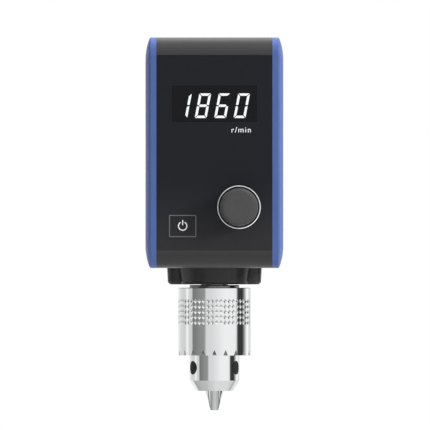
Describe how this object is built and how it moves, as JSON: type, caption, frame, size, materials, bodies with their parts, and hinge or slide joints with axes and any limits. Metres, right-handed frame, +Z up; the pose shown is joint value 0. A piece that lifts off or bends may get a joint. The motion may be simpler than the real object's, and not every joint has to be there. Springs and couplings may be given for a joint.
{
  "type": "overhead stirrer",
  "caption": "Laboratory overhead stirrer: boxy drive with display, knob and key, keyed three-jaw chuck below, and a stand rod at the back.",
  "frame": {"origin": "on the spindle axis, level with the tips of the chuck jaws at rest", "axes": "+Z up along the spindle, -Y the front with the display, +X to the right seen from the front"},
  "size_m": [0.06, 0.2175, 0.1626],
  "materials": {
    "black_housing": "fine satin texture",
    "blue_cover": "satin gloss",
    "panel_film": "satin film",
    "window_lens": "glossy smoked",
    "board": "satin",
    "black_plastic": "satin",
    "knob_cap": "satin",
    "key_cap": "satin",
    "plain_steel": "satin",
    "zinc_cast": "fine powder coat",
    "aluminium_block": "machined",
    "bright_chrome": "polished",
    "hard_steel": "ground",
    "rod_steel": "polished",
    "bearing_steel": "ground",
    "seal_rubber": "matt",
    "copper_wire": "enamelled",
    "stator_iron": "laminated",
    "magnet": "coated",
    "motor_steel": "zinc plated",
    "capacitor_can": "satin",
    "contact_brass": "plated"
  },
  "bodies": {
    "housing": {"main_housing": "black_housing", "left_side_cover": "blue_cover", "right_side_cover": "blue_cover", "front_overlay": "panel_film", "display_window": "window_lens", "display_module": "black_plastic", "front_pcb": "board", "encoder_body": "plain_steel", "encoder_nut": "plain_steel", "tact_switch_body": "black_plastic", "motor_flange": "aluminium_block", "motor_can": "motor_steel", "motor_end_bell": "aluminium_block", "stator_core": "stator_iron", "stator_windings": "copper_wire", "lower_bearing_outer": "bearing_steel", "upper_bearing_outer": "bearing_steel", "drive_pcb": "board", "capacitors": "capacitor_can", "dc_inlet": "black_plastic", "dc_inlet_pin": "contact_brass", "dc_inlet_nut": "plain_steel", "neck_flange": "zinc_cast", "neck_screws": "plain_steel", "shaft_seal": "seal_rubber", "arm_block": "aluminium_block", "arm_block_screws": "plain_steel", "support_rod": "rod_steel"},
    "spindle": {"spindle_shaft": "hard_steel", "rotor_core": "stator_iron", "rotor_magnets": "magnet", "lower_bearing_inner": "bearing_steel", "upper_bearing_inner": "bearing_steel", "circlip": "plain_steel", "chuck_body": "bright_chrome"},
    "chuck_sleeve": {"chuck_sleeve": "bright_chrome", "split_nut": "hard_steel"},
    "jaw_front": {"jaw_front": "hard_steel"},
    "jaw_right": {"jaw_right": "hard_steel"},
    "jaw_left": {"jaw_left": "hard_steel"},
    "encoder_rotor": {"encoder_rotor": "black_plastic"},
    "knob": {"knob": "knob_cap", "encoder_shaft": "plain_steel"},
    "power_key": {"power_key": "key_cap", "key_plunger": "black_plastic"}
  },
  "joints": [
    {"name": "spindle_spin", "type": "hinge", "parent": "housing", "child": "spindle", "pos_m": [0, 0, 0.06], "axis": [0, 0, 1], "continuous": true},
    {"name": "sleeve_turn", "type": "hinge", "parent": "spindle", "child": "chuck_sleeve", "pos_m": [0, 0, 0.03], "axis": [0, 0, -1], "range_deg": [-145.5, 2038]},
    {"name": "jaw_front_slide", "type": "slide", "parent": "spindle", "child": "jaw_front", "axis": [0, -0.309, 0.9511], "range_m": [-0.00081, 0.01133]},
    {"name": "jaw_right_slide", "type": "slide", "parent": "spindle", "child": "jaw_right", "axis": [0.2676, 0.1545, 0.9511], "range_m": [-0.00081, 0.01133]},
    {"name": "jaw_left_slide", "type": "slide", "parent": "spindle", "child": "jaw_left", "axis": [-0.2676, 0.1545, 0.9511], "range_m": [-0.00081, 0.01133]},
    {"name": "encoder_turn", "type": "hinge", "parent": "housing", "child": "encoder_rotor", "pos_m": [0.0107, -0.03, 0.0887], "axis": [0, 1, 0], "continuous": true},
    {"name": "knob_push", "type": "slide", "parent": "encoder_rotor", "child": "knob", "axis": [0, 1, 0], "range_m": [0, 0.0005], "stiffness_N_per_m": 1500, "springref_m": -0.0005},
    {"name": "key_push", "type": "slide", "parent": "housing", "child": "power_key", "axis": [0, 1, 0], "range_m": [0, 0.0005], "stiffness_N_per_m": 1500, "springref_m": -0.0005}
  ],
  "couplings": [
    {"joint": "jaw_front_slide", "follows": "sleeve_turn", "m_per_rad": 0.00031831},
    {"joint": "jaw_right_slide", "follows": "sleeve_turn", "m_per_rad": 0.00031831},
    {"joint": "jaw_left_slide", "follows": "sleeve_turn", "m_per_rad": 0.00031831}
  ]
}
